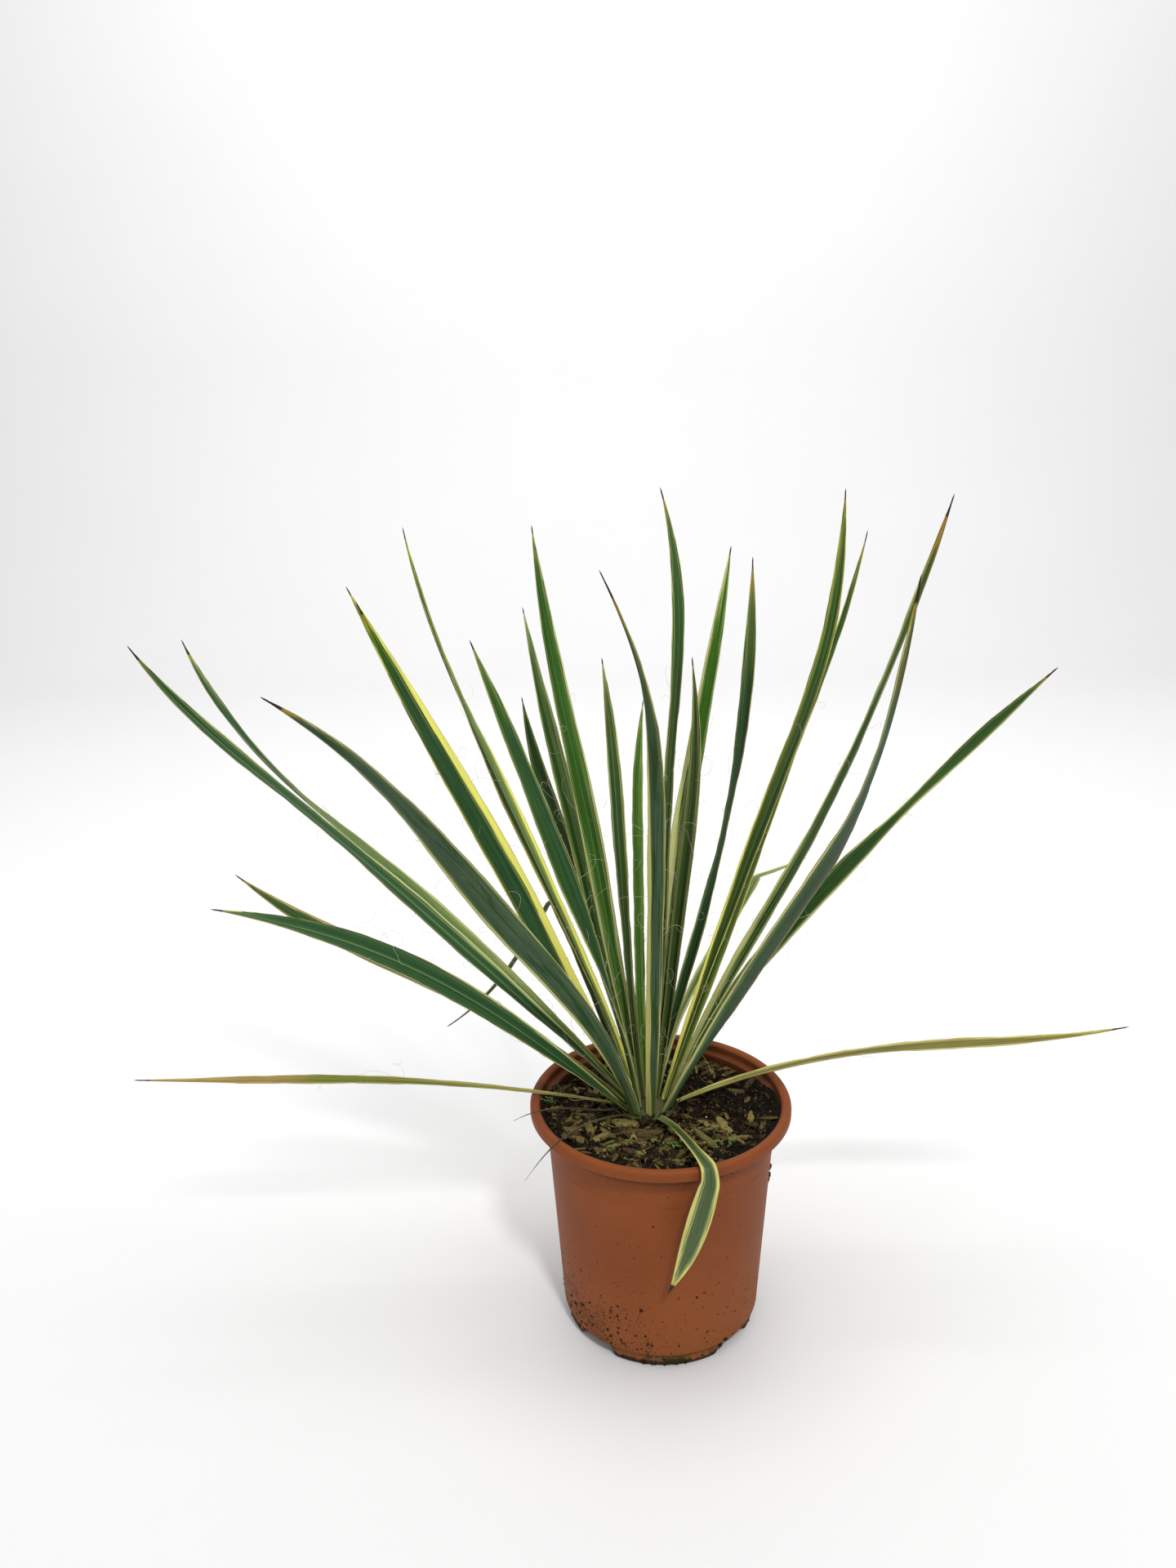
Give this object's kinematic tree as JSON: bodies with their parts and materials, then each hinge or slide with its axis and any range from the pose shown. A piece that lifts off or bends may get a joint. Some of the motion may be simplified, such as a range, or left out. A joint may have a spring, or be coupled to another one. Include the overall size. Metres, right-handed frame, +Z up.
{
  "type": "potted yucca",
  "caption": "Stemless yucca in a round tapered nursery pot: a fan of long sword-shaped leaves with pale margins, rooted in bark-strewn potting mix.",
  "frame": {"origin": "centre of the pot's underside, on the ground", "axes": "+Z up, -Y towards the front of the plant as pictured, +X to its right"},
  "size_m": [0.718, 0.395, 0.6058],
  "materials": {
    "pot_plastic": "satin terracotta-coloured moulded plastic, lightly soiled",
    "potting_mix": "damp dark peat with bark chips",
    "crown_bark": "fibrous, dry",
    "leaf": "waxy green blade with creamy yellow margins",
    "old_leaf": "olive to straw, dull",
    "withered_leaf": "dry, grey-brown"
  },
  "bodies": {
    "root": {"pot": "pot_plastic", "soil": "potting_mix", "crown": "crown_bark", "leaf_01": "leaf", "leaf_02": "leaf", "leaf_03": "leaf", "leaf_04": "leaf", "leaf_05": "leaf", "leaf_06": "leaf", "leaf_07": "leaf", "leaf_08": "leaf", "leaf_09": "leaf", "leaf_10": "leaf", "leaf_11": "leaf", "leaf_12": "leaf", "leaf_13": "old_leaf", "leaf_14": "leaf", "leaf_15": "leaf", "leaf_16": "leaf", "leaf_17": "leaf", "leaf_18": "leaf", "leaf_19": "leaf", "leaf_20": "leaf", "leaf_21": "leaf", "leaf_22": "leaf", "leaf_23": "leaf", "leaf_24": "leaf", "leaf_25": "leaf", "leaf_26": "old_leaf", "leaf_27": "leaf", "leaf_28": "leaf", "leaf_29": "leaf", "withered_leaf_1": "withered_leaf", "withered_leaf_2": "withered_leaf"}
  },
  "joints": []
}
